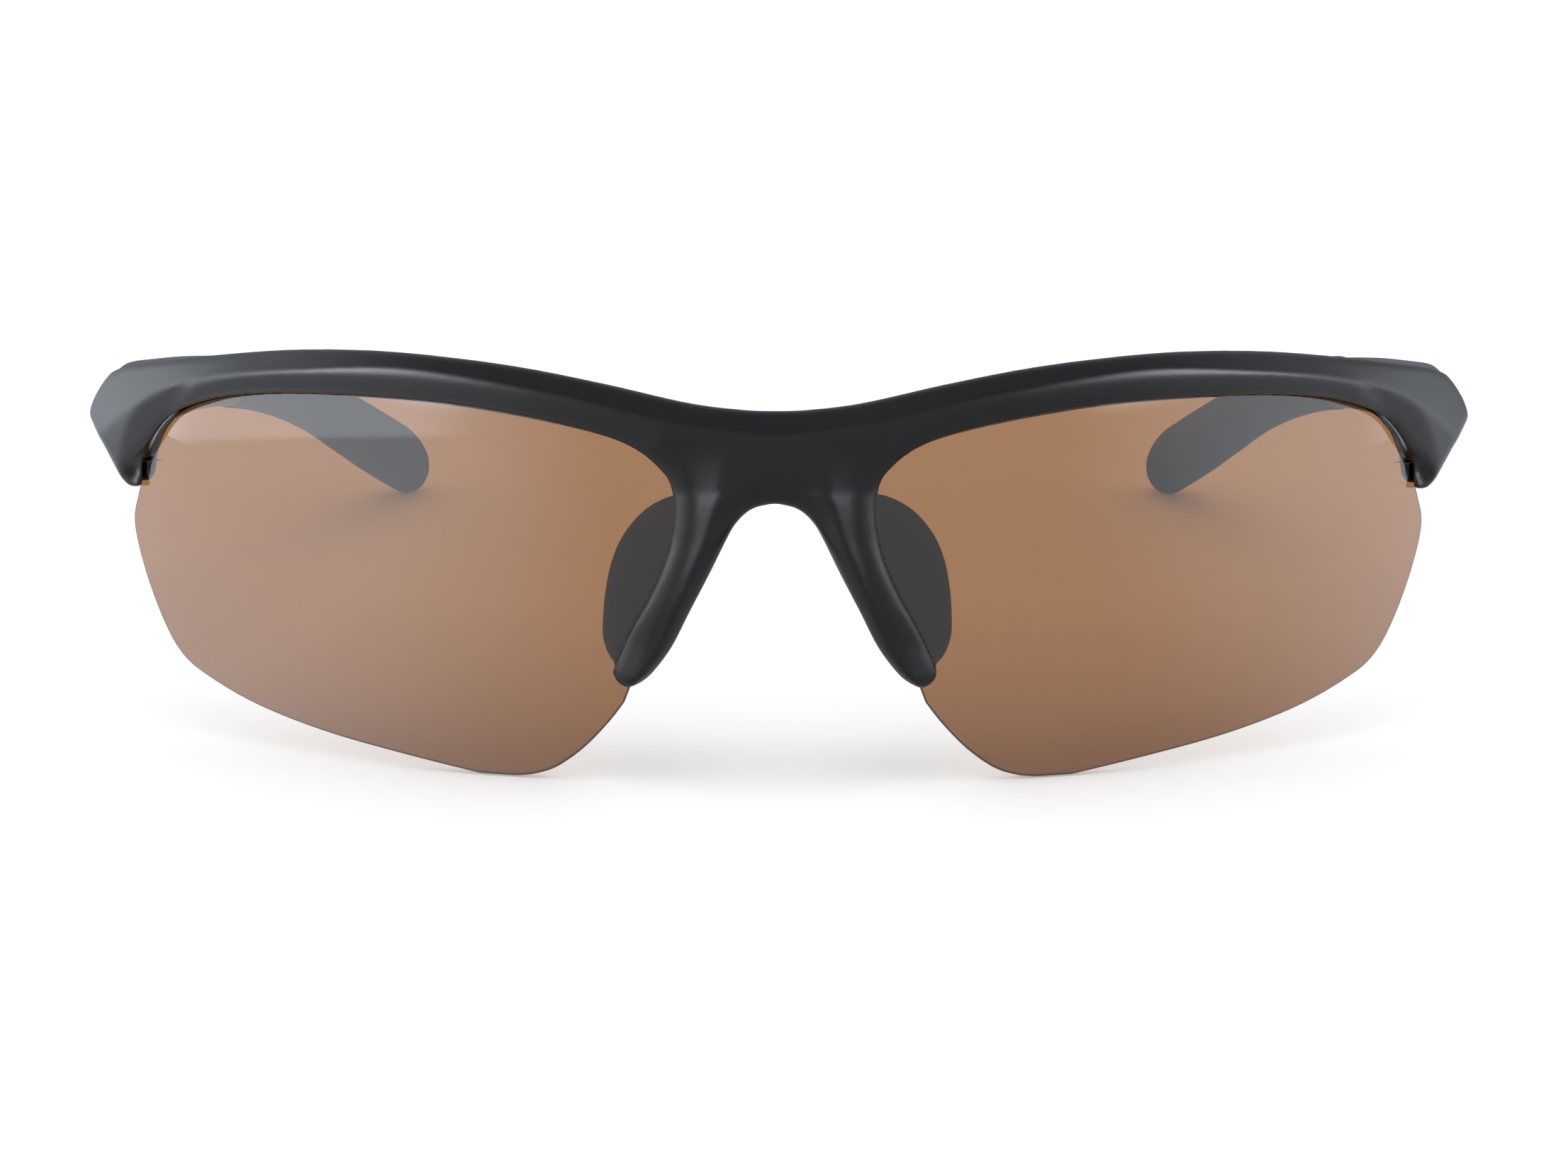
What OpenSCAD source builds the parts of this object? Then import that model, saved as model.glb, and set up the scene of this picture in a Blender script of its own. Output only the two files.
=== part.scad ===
// Wraparound sport sunglasses: half-rim front, two ball-curved lenses, folding arms.
// Millimetres. +X is the wearer's left, +Z is up and the lenses look along -Y.
// The origin is on the surface that the glasses stand on, under the middle of the whole.
// Outlines are written with y measured back from the apex of the lenses.

/* [Lenses] */
// Radius of the outer face of each lens
lens_r = 70; // [68:1:72]
// Thickness of a lens
lens_t = 2; // [1.6:0.1:2.2]
// Height of the lens centres above the ground
lens_cz = 20; // [19:0.5:21]
// Play between a lens and its groove
groove_play = 0.1; // [0.05:0.01:0.15]

/* [Front] */
// Half the distance between the centres of the two lens spheres
sphere_x = 9; // [8:0.5:10]
// How far the front stands proud of the lens face
front_proud = 1.6; // [1.2:0.1:2]
// Depth of the front from its face to its back
front_depth = 5.6; // [5:0.1:6.5]
// Slope of the facet above the brow ridge, seen from the side
facet_slope = 45; // [35:1:55]

/* [Arms] */
// Gap between the front and the end of an open arm
butt_gap = 0.3; // [0.2:0.05:0.5]
// Radius of the round end of a tip, seen from the side
tip_r = 3.6; // [3.4:0.1:3.9]
// Distance from the lens apex back to the centre of the round tip end
tip_y = 147; // [142:0.5:150]
// Distance back to the place where the rubber sleeve starts
sleeve_y = 88; // [80:1:92]
// Radius of the steel wire inside a tip
arm_core_r = 0.6; // [0.5:0.05:0.7]

/* [Hinges] */
// Distance of the hinge axis from the middle plane
hinge_x = 63.4; // [63:0.1:64]
// Distance of the hinge axis back from the lens apex
hinge_y = 34.2; // [34:0.1:34.6]
// Radius of the hinge barrels
barrel_r = 1.5; // [1.4:0.05:1.6]
// Radius of the screw shank
screw_r = 0.7; // [0.6:0.05:0.75]
// Radial play of the shank in the barrels
screw_play = 0.05; // [0.03:0.01:0.08]

/* [Nose pads] */
// Thickness of a pad
pad_t = 2.4; // [2:0.1:3]
// How far a pad stands back from the front
pad_w = 12.6; // [12:0.1:13]
// Lean of a pad, seen from the front
pad_lean = 30; // [28:1:32]
// Outward splay of a pad, seen from above
pad_splay = 28; // [22:1:32]
// Radius of the wire inside a pad
pad_core_r = 0.4; // [0.3:0.05:0.5]

/* [Hidden] */
far = 200;
// The prisms of the outlines start this far in front of the lens apex
ahead_y = -5;
ball_fn = 240;
round_fn = 48;
charcoal = [0.16, 0.16, 0.17];
rubber_grey = [0.2, 0.22, 0.25];
lens_brown = [0.55, 0.4, 0.28, 0.75];
lens_cy = lens_r;
front_r = lens_r + front_proud;
back_r = front_r - front_depth;
front_end_y = hinge_y - 0.2;
arm_start_y = front_end_y + butt_gap;
// y of the middle of the whole, which becomes y = 0 of the part
middle_y = (tip_y + tip_r - front_proud) / 2;
// Play of the keys and leaves in their slots
slot_play = 0.05;
// Free room round the barrels
clearance = 0.3;

// Curve through the points p, with n steps between neighbours (Catmull-Rom)
function spline(p, n) = concat(
    [for (i = [0:len(p) - 2], k = [0:n - 1])
        let (a = p[max(i - 1, 0)], b = p[i], c = p[i + 1], d = p[min(i + 2, len(p) - 1)], t = k / n)
        (2 * b + (c - a) * t + (2 * a - 5 * b + 4 * c - d) * t * t
            + (3 * b - a - 3 * c + d) * t * t * t) / 2],
    [p[len(p) - 1]]
);
function reversed(p) = [for (i = [len(p) - 1:-1:0]) p[i]];
// Mirror image of the points p from number a to number b
function flipped(p, a, b) = [for (i = [a:b]) [-p[i].x, p[i].y]];
// Closed clockwise outline p moved outward by d
function grown(p, d) = [for (i = [0:len(p) - 1])
    let (e = p[(i + 1) % len(p)] - p[(i + len(p) - 1) % len(p)]) p[i] + d * [-e.y, e.x] / norm(e)];
// Strip along the middle line p of [place, offset, half width]
function strip_edge(p, side) = [for (i = [0:len(p) - 1])
    let (e = p[min(i + 1, len(p) - 1)] - p[max(i - 1, 0)], d = [e.x, e.y] / norm([e.x, e.y]))
    [p[i].x - side * p[i].z * d.y, p[i].y + side * p[i].z * d.x]];
function strip(p) = concat(strip_edge(p, 1), reversed(strip_edge(p, -1)));
function shrunk(p, d) = [for (q = p) [q.x, q.y, q.z - d]];
// Offset of the middle line p at the place v
function offset_at(v, p) = lookup(v, [for (q = p) [q.x, q.y]]);
// y of the front's face at [x, z]
function face_y(x, z) =
    lens_cy - sqrt(pow(front_r, 2) - pow(max(x - sphere_x, 0), 2) - pow(z - lens_cz, 2));

// --- Outlines seen from the front, as [x, z] of the +X half ---

brow_top = spline([[0, 36.5], [3, 36.6], [8, 37.2], [16, 38.9], [24, 40.2], [32, 40.8], [40, 40.8],
    [48, 40], [56, 38.3], [62, 36.6], [65, 35.6]], 4);
end_piece = [[66.6, 34.6], [68.9, 31.9], [69.3, 30.9], [69.1, 30], [67, 27.8], [65.2, 25.4]];
lobe_end = [[64.7, 24.8], [64, 24.3], [63, 24.4], [62.4, 25.4]];
opening = spline([[62.3, 26.8], [61.8, 28.5], [60.9, 30.4], [59.3, 32.2], [57, 33.6],
    [53, 35], [47, 36], [38, 36.5], [29, 36.2], [20, 34.9], [14, 33.2], [10.6, 30.6],
    [9.7, 28], [9.8, 25.3], [10.5, 22.4], [11.9, 19.1], [13.5, 16.2], [15.2, 12.8]], 3);
leg_end = [[15.6, 11.6], [15.4, 10.7], [14.8, 10.1], [14.1, 9.9]];
leg_inner = spline([[13.3, 10], [12.3, 10.6], [11.2, 11.8], [9.7, 14], [8.1, 17.3],
    [6.1, 21.2], [4.6, 24.3], [3.6, 26], [2.1, 27.3], [0, 27.8]], 3);
front_half = concat(brow_top, end_piece, lobe_end, opening, leg_end, leg_inner);
front_outline = concat(front_half, reversed(flipped(front_half, 1, len(front_half) - 2)));

// Ridge of the brow, which meets the corner of the end piece
ridge = spline([[0, 34.3], [3, 34.4], [10, 35.4], [20, 37.4], [30, 38.8], [38, 39], [48, 37.6],
    [56, 35.6], [62, 33.4], [69.3, 30.9]], 4);

lens_in_groove = spline([[58, 34], [56, 35.6], [52, 37.1], [46, 37.9], [38, 38.3], [29, 38],
    [20, 36.8], [13, 34.8], [9.2, 31.5], [8.2, 27], [9.6, 21], [12.2, 14.6], [13.6, 10.4]], 3);
lens_nose_edge = spline([[14.4, 8.2], [16, 6], [18.4, 3.3], [21, 1.2], [23.2, 0.3], [25, 0]], 3);
lens_side_edge = spline([[28.6, 0], [36, 1.3], [44, 2.7], [51, 4.4], [56, 6.3], [58.8, 8],
    [60.8, 11], [62.8, 16], [63.9, 20.6], [63.4, 23.6]], 4);
lens_tab = [[63, 25.2], [64.2, 25.7], [64.4, 27], [62, 27.1]];
lens_temple_edge = [[61.4, 28.6], [60.6, 30.4], [59.4, 31.9]];
// Clockwise from the temple side of the brow, seen with x to the right and z up
lens_half = reversed(
    concat(lens_in_groove, lens_nose_edge, lens_side_edge, lens_tab, lens_temple_edge));

// --- Middle lines of the arms ---

// Seen from above: [y, x, half thickness]
arm_plan = spline([[arm_start_y, 66.4, 2.2], [48, 66, 2.1], [60, 65.1, 2], [75, 63, 1.9],
    [90, 59.9, 2], [105, 56, 2.2], [120, 51.9, 2.5], [135, 47.9, 2.7], [146, 45.3, 2.7],
    [152, 43.8, 2.4]], 3);
// Seen from the side: [y, z, half height]
arm_side = spline([[arm_start_y, 29.7, 4.5], [45, 29.3, 4.1], [60, 27.8, 3.4], [75, 26, 2.9],
    [90, 23.5, 2.7], [103, 20.3, 2.8], [115, 16.4, 3.1], [126, 11.9, 3.4], [136, 7.8, 3.6],
    [tip_y, tip_r, tip_r]], 3);
spigot_end_y = 132;
spigot_shrink = 1.2;
// Ends of the straight wire inside a tip, as [y, z]
core_ends = [[98, 21.7], [141, 6]];

// --- Shared shapes ---

module placed() { translate([0, -middle_y, 0]) children(); }

module on_side(side) {
    if (side > 0) children();
    else mirror([1, 0, 0]) children();
}

module both_sides() {
    children();
    mirror([1, 0, 0]) children();
}

// Layer between two radii that follows both lenses: balls at the sides, a drum between them
module wrap_layer(r_out, r_in) {
    both_sides() intersection() {
        translate([sphere_x, lens_cy, lens_cz]) difference() {
            sphere(r_out, $fn = ball_fn);
            sphere(r_in, $fn = ball_fn);
        }
        translate([sphere_x, -far / 2, -far / 2]) cube([far, far, far]);
    }
    translate([-sphere_x, lens_cy, lens_cz]) rotate([0, 90, 0]) difference() {
        cylinder(h = 2 * sphere_x, r = r_out, $fn = ball_fn);
        translate([0, 0, -1]) cylinder(h = 2 * sphere_x + 2, r = r_in, $fn = ball_fn);
    }
}

// Prism of an [x, z] outline from y0 to y1
module front_prism(outline, y0, y1) {
    translate([0, y1, 0]) rotate([90, 0, 0]) linear_extrude(y1 - y0) polygon(outline);
}

// Prism of a [y, z] outline from x0 to x1
module side_prism(outline, x0, x1) {
    translate([x0, 0, 0]) rotate([90, 0, 90]) linear_extrude(x1 - x0) polygon(outline);
}

// Prism of a [y, x] outline over more than the whole height
module plan_prism(outline) {
    mirror([1, 0, 0]) rotate([0, 0, 90]) translate([0, 0, -far / 2])
        linear_extrude(far) polygon(outline);
}

// Round bar between two points
module rod(a, b, r) {
    d = b - a;
    translate(a) rotate([0, acos(d.z / norm(d)), atan2(d.y, d.x)])
        cylinder(h = norm(d), r = r, $fn = round_fn);
}

// Box between two corners, grown by play
module grown_box(a, b, play) {
    translate(a - [play, play, play]) cube(b - a + 2 * [play, play, play]);
}

// --- Front ---

// Everything below the facet that rises backward from the brow ridge
module under_facet() {
    on_ridge = [for (q = ridge)
        [q.x, face_y(q.x, q.y) * sin(facet_slope) - q.y * cos(facet_slope)]];
    last = on_ridge[len(on_ridge) - 1] + [5, 0];
    half = concat(on_ridge, [last, [last.x, far]]);
    rotate([facet_slope - 90, 0, 0]) translate([0, 0, -far])
        linear_extrude(2 * far) polygon(concat(reversed(half), flipped(half, 1, len(half) - 1)));
}

// Lens of the +X side, grown all round by play
module lens_solid(play) {
    intersection() {
        front_prism(grown(lens_half, play), ahead_y, front_end_y);
        translate([sphere_x, lens_cy, lens_cz]) difference() {
            sphere(lens_r + play, $fn = ball_fn);
            sphere(lens_r - lens_t - play, $fn = ball_fn);
        }
    }
}

module front_frame() {
    color(charcoal) placed() difference() {
        intersection() {
            front_prism(front_outline, ahead_y, front_end_y);
            wrap_layer(front_r, back_r);
            under_facet();
        }
        both_sides() {
            lens_solid(groove_play);
            pad_tongue(slot_play);
            hinge_channel();
            front_leaf(slot_play);
        }
    }
}

module lens(side) {
    color(lens_brown) placed() on_side(side) lens_solid(0);
}

// --- Nose pads ---

pad_at = [9.7, 5.8, 18.2];
tongue_t = 1.3;
tongue_h = 10;
tongue_front_y = 2.7;
pad_outline = spline([[0.4, -9], [0, -4], [0, 3], [0.8, 7.8], [3, 9.2], [6, 8.5], [9, 6],
    [pad_w - 1, 3], [pad_w, 0], [pad_w - 0.8, -2.8], [9.8, -5.2], [7, -7.8], [4.2, -9.6],
    [2, -10.2]], 2);
pad_core_reach = 6;

// Frame of a pad, leaning with the nose leg
module on_leg() { translate(pad_at) rotate([0, -pad_lean, 0]) children(); }

// Key of the pad in the slot of the nose leg
module pad_tongue(play) {
    on_leg() grown_box([-tongue_t / 2, tongue_front_y - pad_at.y, -tongue_h / 2],
        [tongue_t / 2, 1, tongue_h / 2], play);
}

module pad_core(r) {
    on_leg() rotate([0, 0, -pad_splay]) {
        rod([0, pad_core_reach, -pad_core_reach], [0, pad_core_reach, pad_core_reach], r);
        rod([0, 1, 0], [0, pad_core_reach, 0], r);
    }
}

module nose_pad(side) {
    color(rubber_grey) placed() on_side(side) difference() {
        union() {
            pad_tongue(0);
            on_leg() rotate([0, 0, -pad_splay]) side_prism(pad_outline, -pad_t / 2, pad_t / 2);
        }
        pad_core(pad_core_r + slot_play);
    }
}

module nose_pad_core(side) {
    color("silver") placed() on_side(side) pad_core(pad_core_r);
}

// --- Hinges ---

barrel_z = 27.6;
knuckle_h = 1.9;
knuckle_gap = 0.1;
middle_h = 2;
barrel_h = 2 * knuckle_h + 2 * knuckle_gap + middle_h;
middle_z = barrel_z + knuckle_h + knuckle_gap;
leaf_t = 1;
leaf_front_y = 31.2;
anchor_w = 2.8;
anchor_t = 0.8;
arm_leaf_x = 64.6;
arm_leaf_end_y = 45;
arm_leaf_rim = 1;
head_r = 1.25;
head_h = 0.9;
slot_w = 0.35;
slot_d = 0.4;
screw_below = 0.3;

module at_hinge(z) { translate([hinge_x, hinge_y, z]) children(); }

// Hole for the screw through all barrels
module screw_hole() {
    at_hinge(barrel_z - 1)
        cylinder(h = barrel_h + 2, r = screw_r + screw_play, $fn = round_fn);
}

// Room round the barrels, open above and below for the screw
module hinge_channel() {
    at_hinge(20) cylinder(h = 20, r = barrel_r + clearance, $fn = round_fn);
}

// Flat leaf with its anchor, moulded into the end piece
module front_leaf(play) {
    grown_box([hinge_x - leaf_t / 2, leaf_front_y, barrel_z],
        [hinge_x + leaf_t / 2, hinge_y, barrel_z + barrel_h], play);
    grown_box([hinge_x - anchor_w / 2, leaf_front_y, barrel_z],
        [hinge_x + anchor_w / 2, leaf_front_y + anchor_t, barrel_z + barrel_h], play);
}

module hinge_front(side) {
    color("silver") placed() on_side(side) difference() {
        union() {
            front_leaf(0);
            at_hinge(barrel_z) cylinder(h = barrel_h, r = barrel_r, $fn = round_fn);
        }
        at_hinge(middle_z - knuckle_gap)
            cylinder(h = middle_h + 2 * knuckle_gap, r = barrel_r + clearance, $fn = round_fn);
        screw_hole();
    }
}

// Leaf of the arm: a plate in a slot of the arm and a link to the middle barrel
module arm_leaf(play) {
    plate_y = hinge_y + barrel_r + clearance;
    grown_box([arm_leaf_x, plate_y, middle_z - arm_leaf_rim],
        [arm_leaf_x + leaf_t, arm_leaf_end_y, middle_z + middle_h + arm_leaf_rim], play);
    grown_box([hinge_x, hinge_y + barrel_r / 2, middle_z],
        [arm_leaf_x + leaf_t, plate_y + leaf_t, middle_z + middle_h], play);
}

module hinge_temple(side) {
    color("silver") placed() on_side(side) difference() {
        union() {
            arm_leaf(0);
            at_hinge(middle_z) cylinder(h = middle_h, r = barrel_r, $fn = round_fn);
        }
        screw_hole();
    }
}

module hinge_screw(side) {
    color("gray") placed() on_side(side) difference() {
        union() {
            at_hinge(barrel_z - screw_below)
                cylinder(h = barrel_h + 2 * screw_below, r = screw_r, $fn = round_fn);
            at_hinge(barrel_z + barrel_h) cylinder(h = head_h, r = head_r, $fn = round_fn);
        }
        at_hinge(barrel_z + barrel_h + head_h - slot_d)
            translate([-head_r - 1, -slot_w / 2, 0]) cube([2 * head_r + 2, slot_w, 1]);
    }
}

// --- Arms ---

// Solid of the arm's outline, made thinner by d
module arm_blank(d) {
    intersection() {
        union() {
            side_prism(strip(shrunk(arm_side, d)), 0, far);
            translate([0, tip_y, tip_r]) rotate([0, 90, 0])
                cylinder(h = far, r = tip_r - d, $fn = round_fn);
        }
        plan_prism(strip(shrunk(arm_plan, d)));
    }
}

// What lies between two distances back
module between(y0, y1) {
    intersection() {
        children();
        translate([0, y0, -far / 2]) cube([far, y1 - y0, far]);
    }
}

module arm_core(r) {
    a = core_ends[0];
    b = core_ends[1];
    rod([offset_at(a.x, arm_plan), a.x, a.y], [offset_at(b.x, arm_plan), b.x, b.y], r);
}

module temple_arm(side) {
    color(charcoal) placed() on_side(side) difference() {
        union() {
            between(arm_start_y, sleeve_y) arm_blank(0);
            between(sleeve_y - 1, spigot_end_y) arm_blank(spigot_shrink);
        }
        hinge_channel();
        arm_leaf(slot_play);
        arm_core(arm_core_r + slot_play);
    }
}

module temple_tip(side) {
    color(rubber_grey) placed() on_side(side) difference() {
        between(sleeve_y, far) arm_blank(0);
        between(sleeve_y - 1, spigot_end_y + slot_play) arm_blank(spigot_shrink - slot_play);
        arm_core(arm_core_r + slot_play);
    }
}

module temple_core(side) {
    color("silver") placed() on_side(side) arm_core(arm_core_r);
}

front_frame();
lens(1);  // lens_left
lens(-1);  // lens_right
nose_pad(1);  // nose_pad_left
nose_pad(-1);  // nose_pad_right
nose_pad_core(1);  // nose_pad_core_left
nose_pad_core(-1);  // nose_pad_core_right
hinge_front(1);  // hinge_front_left
hinge_front(-1);  // hinge_front_right
hinge_screw(1);  // hinge_screw_left
hinge_screw(-1);  // hinge_screw_right
temple_arm(1);  // temple_arm_left
temple_arm(-1);  // temple_arm_right
temple_tip(1);  // temple_tip_left
temple_tip(-1);  // temple_tip_right
temple_core(1);  // temple_core_left
temple_core(-1);  // temple_core_right
hinge_temple(1);  // hinge_temple_left
hinge_temple(-1);  // hinge_temple_right
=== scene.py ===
"""The looks of a pair of wraparound sport sunglasses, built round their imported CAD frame.

Outlines are in millimetres, with y measured back from the apex of the lenses, as in the CAD
source. row() turns such points into the row frame, in metres.
"""

import math

import bpy
import numpy as np
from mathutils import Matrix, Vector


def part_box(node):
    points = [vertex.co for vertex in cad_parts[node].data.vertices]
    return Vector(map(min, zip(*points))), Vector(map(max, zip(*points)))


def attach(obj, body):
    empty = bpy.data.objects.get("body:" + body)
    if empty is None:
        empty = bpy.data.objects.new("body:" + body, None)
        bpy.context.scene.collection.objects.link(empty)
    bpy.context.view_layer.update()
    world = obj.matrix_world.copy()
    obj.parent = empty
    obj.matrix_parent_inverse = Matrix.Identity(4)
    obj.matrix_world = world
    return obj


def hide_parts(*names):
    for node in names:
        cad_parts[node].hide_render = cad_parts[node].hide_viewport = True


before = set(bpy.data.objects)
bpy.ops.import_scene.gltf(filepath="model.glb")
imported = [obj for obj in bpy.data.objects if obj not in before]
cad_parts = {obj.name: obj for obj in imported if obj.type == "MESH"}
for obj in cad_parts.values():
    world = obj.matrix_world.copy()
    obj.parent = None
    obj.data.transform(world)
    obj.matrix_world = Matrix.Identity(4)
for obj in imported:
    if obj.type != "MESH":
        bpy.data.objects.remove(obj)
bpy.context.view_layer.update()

MM = 0.001
SIDES = {"left": 1, "right": -1}

# Driving sizes, which repeat the CAD's
LENS_R = 70.0
LENS_T = 2.0
LENS_CZ = 20.0
SPHERE_X = 9.0
FRONT_PROUD = 1.6
FRONT_BACK = -4.0
FRONT_END_Y = 34.0
GROOVE_PLAY = 0.1
HINGE_X, HINGE_Y = 63.4, 34.2
CHANNEL_R = 1.8
TIP_R = 3.6
TIP_Y = 147.0
SLEEVE_Y = 88.0
APEX_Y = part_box("front_frame")[0].y / MM + FRONT_PROUD


# --- Curves -------------------------------------------------------------------------------


def spline(points, steps=8):
    """Catmull-Rom curve through the points, with so many steps between neighbours."""
    p = np.array(points, float)
    p = np.vstack([p[:1], p, p[-1:]])
    t = np.linspace(0, 1, steps, endpoint=False)[:, None]
    spans = []
    for a, b, c, d in zip(p[:-3], p[1:-2], p[2:-1], p[3:]):
        cubic = (3 * b - a - 3 * c + d) * t**3
        spans.append((2 * b + (c - a) * t + (2 * a - 5 * b + 4 * c - d) * t**2 + cubic) / 2)
    return np.vstack(spans + [p[-1:]])


def strip_edges(middle):
    """The two edges of a strip along a middle line of [place, offset, half width]."""
    d = np.gradient(middle[:, :2], axis=0)
    d /= np.linalg.norm(d, axis=1)[:, None]
    side = np.column_stack([-d[:, 1], d[:, 0]]) * middle[:, 2:3]
    return middle[:, :2] + side, middle[:, :2] - side


BROW_TOP = spline([[0, 36.5], [3, 36.6], [8, 37.2], [16, 38.9], [24, 40.2], [32, 40.8],
                   [40, 40.8], [48, 40], [56, 38.3], [62, 36.6], [65, 35.6]])
END_PIECE = [[66.6, 34.6], [68.9, 31.9], [69.3, 30.9], [69.1, 30], [67, 27.8], [65.2, 25.4]]
LOBE_END = [[64.7, 24.8], [64, 24.3], [63, 24.4], [62.4, 25.4]]
OPENING = spline([[62.3, 26.8], [61.8, 28.5], [60.9, 30.4], [59.3, 32.2], [57, 33.6],
                  [53, 35], [47, 36], [38, 36.5], [29, 36.2], [20, 34.9], [14, 33.2],
                  [10.6, 30.6], [9.7, 28], [9.8, 25.3], [10.5, 22.4], [11.9, 19.1],
                  [13.5, 16.2], [15.2, 12.8]])
LEG_END = [[15.6, 11.6], [15.4, 10.7], [14.8, 10.1], [14.1, 9.9]]
LEG_INNER = spline([[13.3, 10], [12.3, 10.6], [11.2, 11.8], [9.7, 14], [8.1, 17.3],
                    [6.1, 21.2], [4.6, 24.3], [3.6, 26], [2.1, 27.3], [0, 27.8]])
FRONT_HALF = np.vstack([BROW_TOP, END_PIECE, LOBE_END, OPENING, LEG_END, LEG_INNER])
RIDGE = spline([[0, 34.3], [3, 34.4], [10, 35.4], [20, 37.4], [30, 38.8], [38, 39],
                [48, 37.6], [56, 35.6], [61, 33.8], [64.4, 31.8], [66.8, 29.4], [68.4, 27.2],
                [70, 24]])

LENS_IN_GROOVE = spline([[58, 34], [56, 35.6], [52, 37.1], [46, 37.9], [38, 38.3], [29, 38],
                         [20, 36.8], [13, 34.8], [9.2, 31.5], [8.2, 27], [9.6, 21],
                         [12.2, 14.6], [13.6, 10.4]])
LENS_NOSE_EDGE = spline([[14.4, 8.2], [16, 6], [18.4, 3.3], [21, 1.2], [23.2, 0.3], [25, 0]])
LENS_SIDE_EDGE = spline([[28.6, 0], [36, 1.3], [44, 2.7], [51, 4.4], [56, 6.3], [58.8, 8],
                         [60.8, 11], [62.8, 16], [63.9, 20.6], [63.4, 23.6]])
LENS_TAB = [[63, 25.2], [64.2, 25.7], [64.4, 27], [62, 27.1]]
LENS_TEMPLE_EDGE = [[61.4, 28.6], [60.6, 30.4], [59.4, 31.9]]
LENS_HALF = np.vstack([LENS_IN_GROOVE, LENS_NOSE_EDGE, LENS_SIDE_EDGE, LENS_TAB,
                       LENS_TEMPLE_EDGE])

# Middle lines of an arm: [y, x, half thickness] from above, [y, z, half height] from the side
ARM_PLAN = spline([[34.3, 66.4, 2.2], [48, 66, 2.1], [60, 65.1, 2], [75, 63, 1.9],
                   [90, 59.9, 2], [105, 56, 2.2], [120, 51.9, 2.5], [135, 47.9, 2.7],
                   [146, 45.3, 2.7], [152, 43.8, 2.4]])
ARM_SIDE = spline([[34.3, 29.7, 4.5], [45, 29.3, 4.1], [60, 27.8, 3.4], [75, 26, 2.9],
                   [90, 23.5, 2.7], [103, 20.3, 2.8], [115, 16.4, 3.1], [126, 11.9, 3.4],
                   [136, 7.8, 3.6], [TIP_Y, TIP_R, TIP_R]])


# --- Meshes -------------------------------------------------------------------------------


def row(points, side=1):
    """Points in the outlines' millimetres as points in the row frame, in metres."""
    p = np.array(points, float)
    return np.column_stack([side * p[:, 0], p[:, 1] + APEX_Y, p[:, 2]]) * MM


def piece(name, points, faces, material, body, nodes, side=1):
    """A smooth mesh that rides on a body and stands for CAD nodes."""
    mesh = bpy.data.meshes.new(name)
    if side < 0:
        faces = [tuple(reversed(f)) for f in faces]
    mesh.from_pydata(row(points, side).tolist(), [], [tuple(int(i) for i in f) for f in faces])
    mesh.update()
    mesh.shade_smooth()
    mesh.materials.append(material)
    obj = bpy.data.objects.new(name, mesh)
    bpy.context.scene.collection.objects.link(obj)
    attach(obj, body)
    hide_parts(*nodes)
    return obj


def on_wrap(x, z, n):
    """The points over [x, z] on the common curve of the lenses, raised by n."""
    cx = np.clip(x, -SPHERE_X, SPHERE_X)
    y = -np.sqrt(LENS_R**2 - (x - cx)**2 - (z - LENS_CZ)**2)
    k = (LENS_R + n) / LENS_R
    return np.stack([cx + (x - cx) * k, LENS_R + y * k, LENS_CZ + (z - LENS_CZ) * k], axis=-1)


def smooth_max(a, b, r):
    """The larger of two distances, with a fillet of radius r where they meet."""
    corner = np.hypot(np.maximum(a + r, 0), np.maximum(b + r, 0))
    return np.minimum(np.maximum(a, b), -r) + corner


def smooth_min(a, b, r):
    return -smooth_max(-a, -b, r)


def signed_distance(points, outline):
    """Distance of 2D points from a closed outline, negative inside."""
    best = np.full(points.shape[:-1], np.inf)
    inside = np.zeros(points.shape[:-1], bool)
    px, pz = points[..., 0], points[..., 1]
    for (ax, az), (bx, bz) in zip(outline, np.roll(outline, -1, axis=0)):
        dx, dz = bx - ax, bz - az
        length2 = dx * dx + dz * dz
        if length2 < 1e-12:
            continue
        t = np.clip(((px - ax) * dx + (pz - az) * dz) / length2, 0, 1)
        best = np.minimum(best, (px - ax - t * dx)**2 + (pz - az - t * dz)**2)
        if az != bz:
            crosses = (az > pz) != (bz > pz)
            inside ^= crosses & (px < ax + (pz - az) / dz * dx)
    return np.where(inside, -1, 1) * np.sqrt(best)


def distance_to(points, line):
    """Distance of 2D points from an open line."""
    best = np.full(points.shape[:-1], np.inf)
    px, pz = points[..., 0], points[..., 1]
    for (ax, az), (bx, bz) in zip(line[:-1], line[1:]):
        dx, dz = bx - ax, bz - az
        t = np.clip(((px - ax) * dx + (pz - az) * dz) / max(dx * dx + dz * dz, 1e-12), 0, 1)
        best = np.minimum(best, (px - ax - t * dx)**2 + (pz - az - t * dz)**2)
    return np.sqrt(best)


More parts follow.
